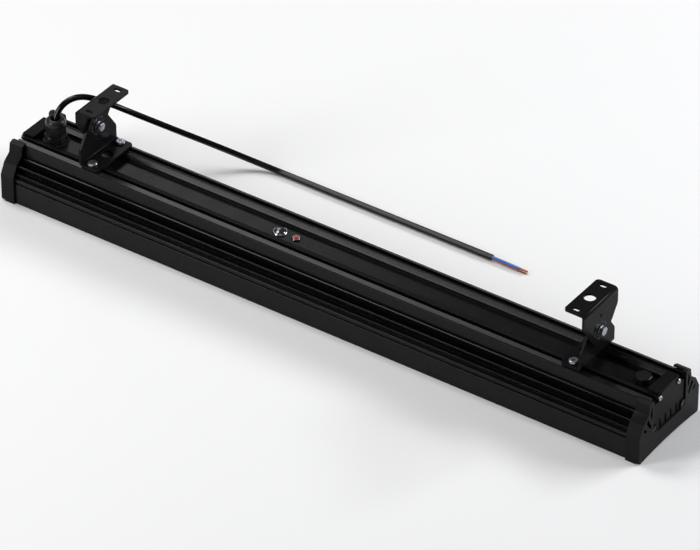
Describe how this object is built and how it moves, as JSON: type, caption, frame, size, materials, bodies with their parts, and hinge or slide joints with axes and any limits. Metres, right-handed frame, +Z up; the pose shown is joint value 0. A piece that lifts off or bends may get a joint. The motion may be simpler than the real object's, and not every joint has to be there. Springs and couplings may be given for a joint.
{
  "type": "linear light fixture",
  "caption": "Linear light fixture: finned extruded housing with end caps, clear lens below, tilting mounting brackets and a supply cable with bare cores.",
  "frame": {"origin": "centre of the fixture's footprint, on the surface that its skirts and end caps stand on", "axes": "+X along the housing towards the end with the vent plug, +Y across it towards the side where the cable lies, +Z up from the lens towards the brackets"},
  "size_m": [0.9, 0.2355, 0.1501],
  "materials": {
    "housing_black": "satin black powder coat on aluminium",
    "cap_black": "fine-textured black plastic",
    "plate_black": "satin black powder coat on sheet steel",
    "bracket_black": "satin black powder coat on sheet steel",
    "gasket_rubber": "black rubber",
    "lens_clear": "frosted clear lens",
    "board_white": "white solder mask",
    "chip_yellow": "yellow phosphor",
    "driver_metal": "bare folded sheet",
    "terminal_grey": "light grey",
    "gland_plastic": "black nylon",
    "vent_plastic": "black nylon",
    "bright_bezel": "polished",
    "sensor_clear": "glossy lens",
    "lamp_red": "glossy red",
    "dark_steel": "black-oxide steel",
    "cable_black": "matt black rubber sheath",
    "core_green": "green and yellow insulation",
    "core_blue": "blue insulation",
    "core_brown": "brown insulation",
    "copper": "bare copper strands"
  },
  "bodies": {
    "fixture": {"housing": "housing_black", "lens": "lens_clear", "lens_gasket": "gasket_rubber", "driver": "driver_metal", "terminal_block": "terminal_grey", "gland_washer": "gasket_rubber", "gland_body": "gland_plastic", "gland_lock_nut": "gland_plastic", "gland_dome_nut": "gland_plastic", "gland_seal": "gasket_rubber", "gland_claw": "gland_plastic", "vent_plug": "vent_plastic", "vent_seal_ring": "gasket_rubber", "sensor_bezel": "bright_bezel", "sensor_dome": "sensor_clear", "lamp_bezel": "bright_bezel", "lamp_dome": "lamp_red", "cable_sheath": "cable_black", "end_cap_left": "cap_black", "end_plate_left": "plate_black", "end_gasket_left": "gasket_rubber", "plate_screws_left": "dark_steel", "cap_screws_left": "dark_steel", "foot_bracket_left": "bracket_black", "pivot_bolt_left": "dark_steel", "pivot_washers_left": "dark_steel", "pivot_nut_left": "dark_steel", "foot_screws_left": "dark_steel", "slot_nuts_left": "dark_steel", "end_cap_right": "cap_black", "end_plate_right": "plate_black", "end_gasket_right": "gasket_rubber", "plate_screws_right": "dark_steel", "cap_screws_right": "dark_steel", "foot_bracket_right": "bracket_black", "pivot_bolt_right": "dark_steel", "pivot_washers_right": "dark_steel", "pivot_nut_right": "dark_steel", "foot_screws_right": "dark_steel", "slot_nuts_right": "dark_steel", "led_boards_front": "board_white", "led_chips_front": "chip_yellow", "led_boards_back": "board_white", "led_chips_back": "chip_yellow", "core_green": "core_green", "copper_green": "copper", "core_blue": "core_blue", "copper_blue": "copper", "core_brown": "core_brown", "copper_brown": "copper"},
    "tilt_left_body": {"tilt_bracket_left": "bracket_black"},
    "tilt_right_body": {"tilt_bracket_right": "bracket_black"}
  },
  "joints": [
    {"name": "tilt_left", "type": "hinge", "parent": "fixture", "child": "tilt_left_body", "pos_m": [-0.3541, 0, 0.1112], "axis": [1, 0, 0], "range_deg": [-80, 80]},
    {"name": "tilt_right", "type": "hinge", "parent": "fixture", "child": "tilt_right_body", "pos_m": [0.3541, 0, 0.1112], "axis": [1, 0, 0], "range_deg": [-80, 80]}
  ]
}
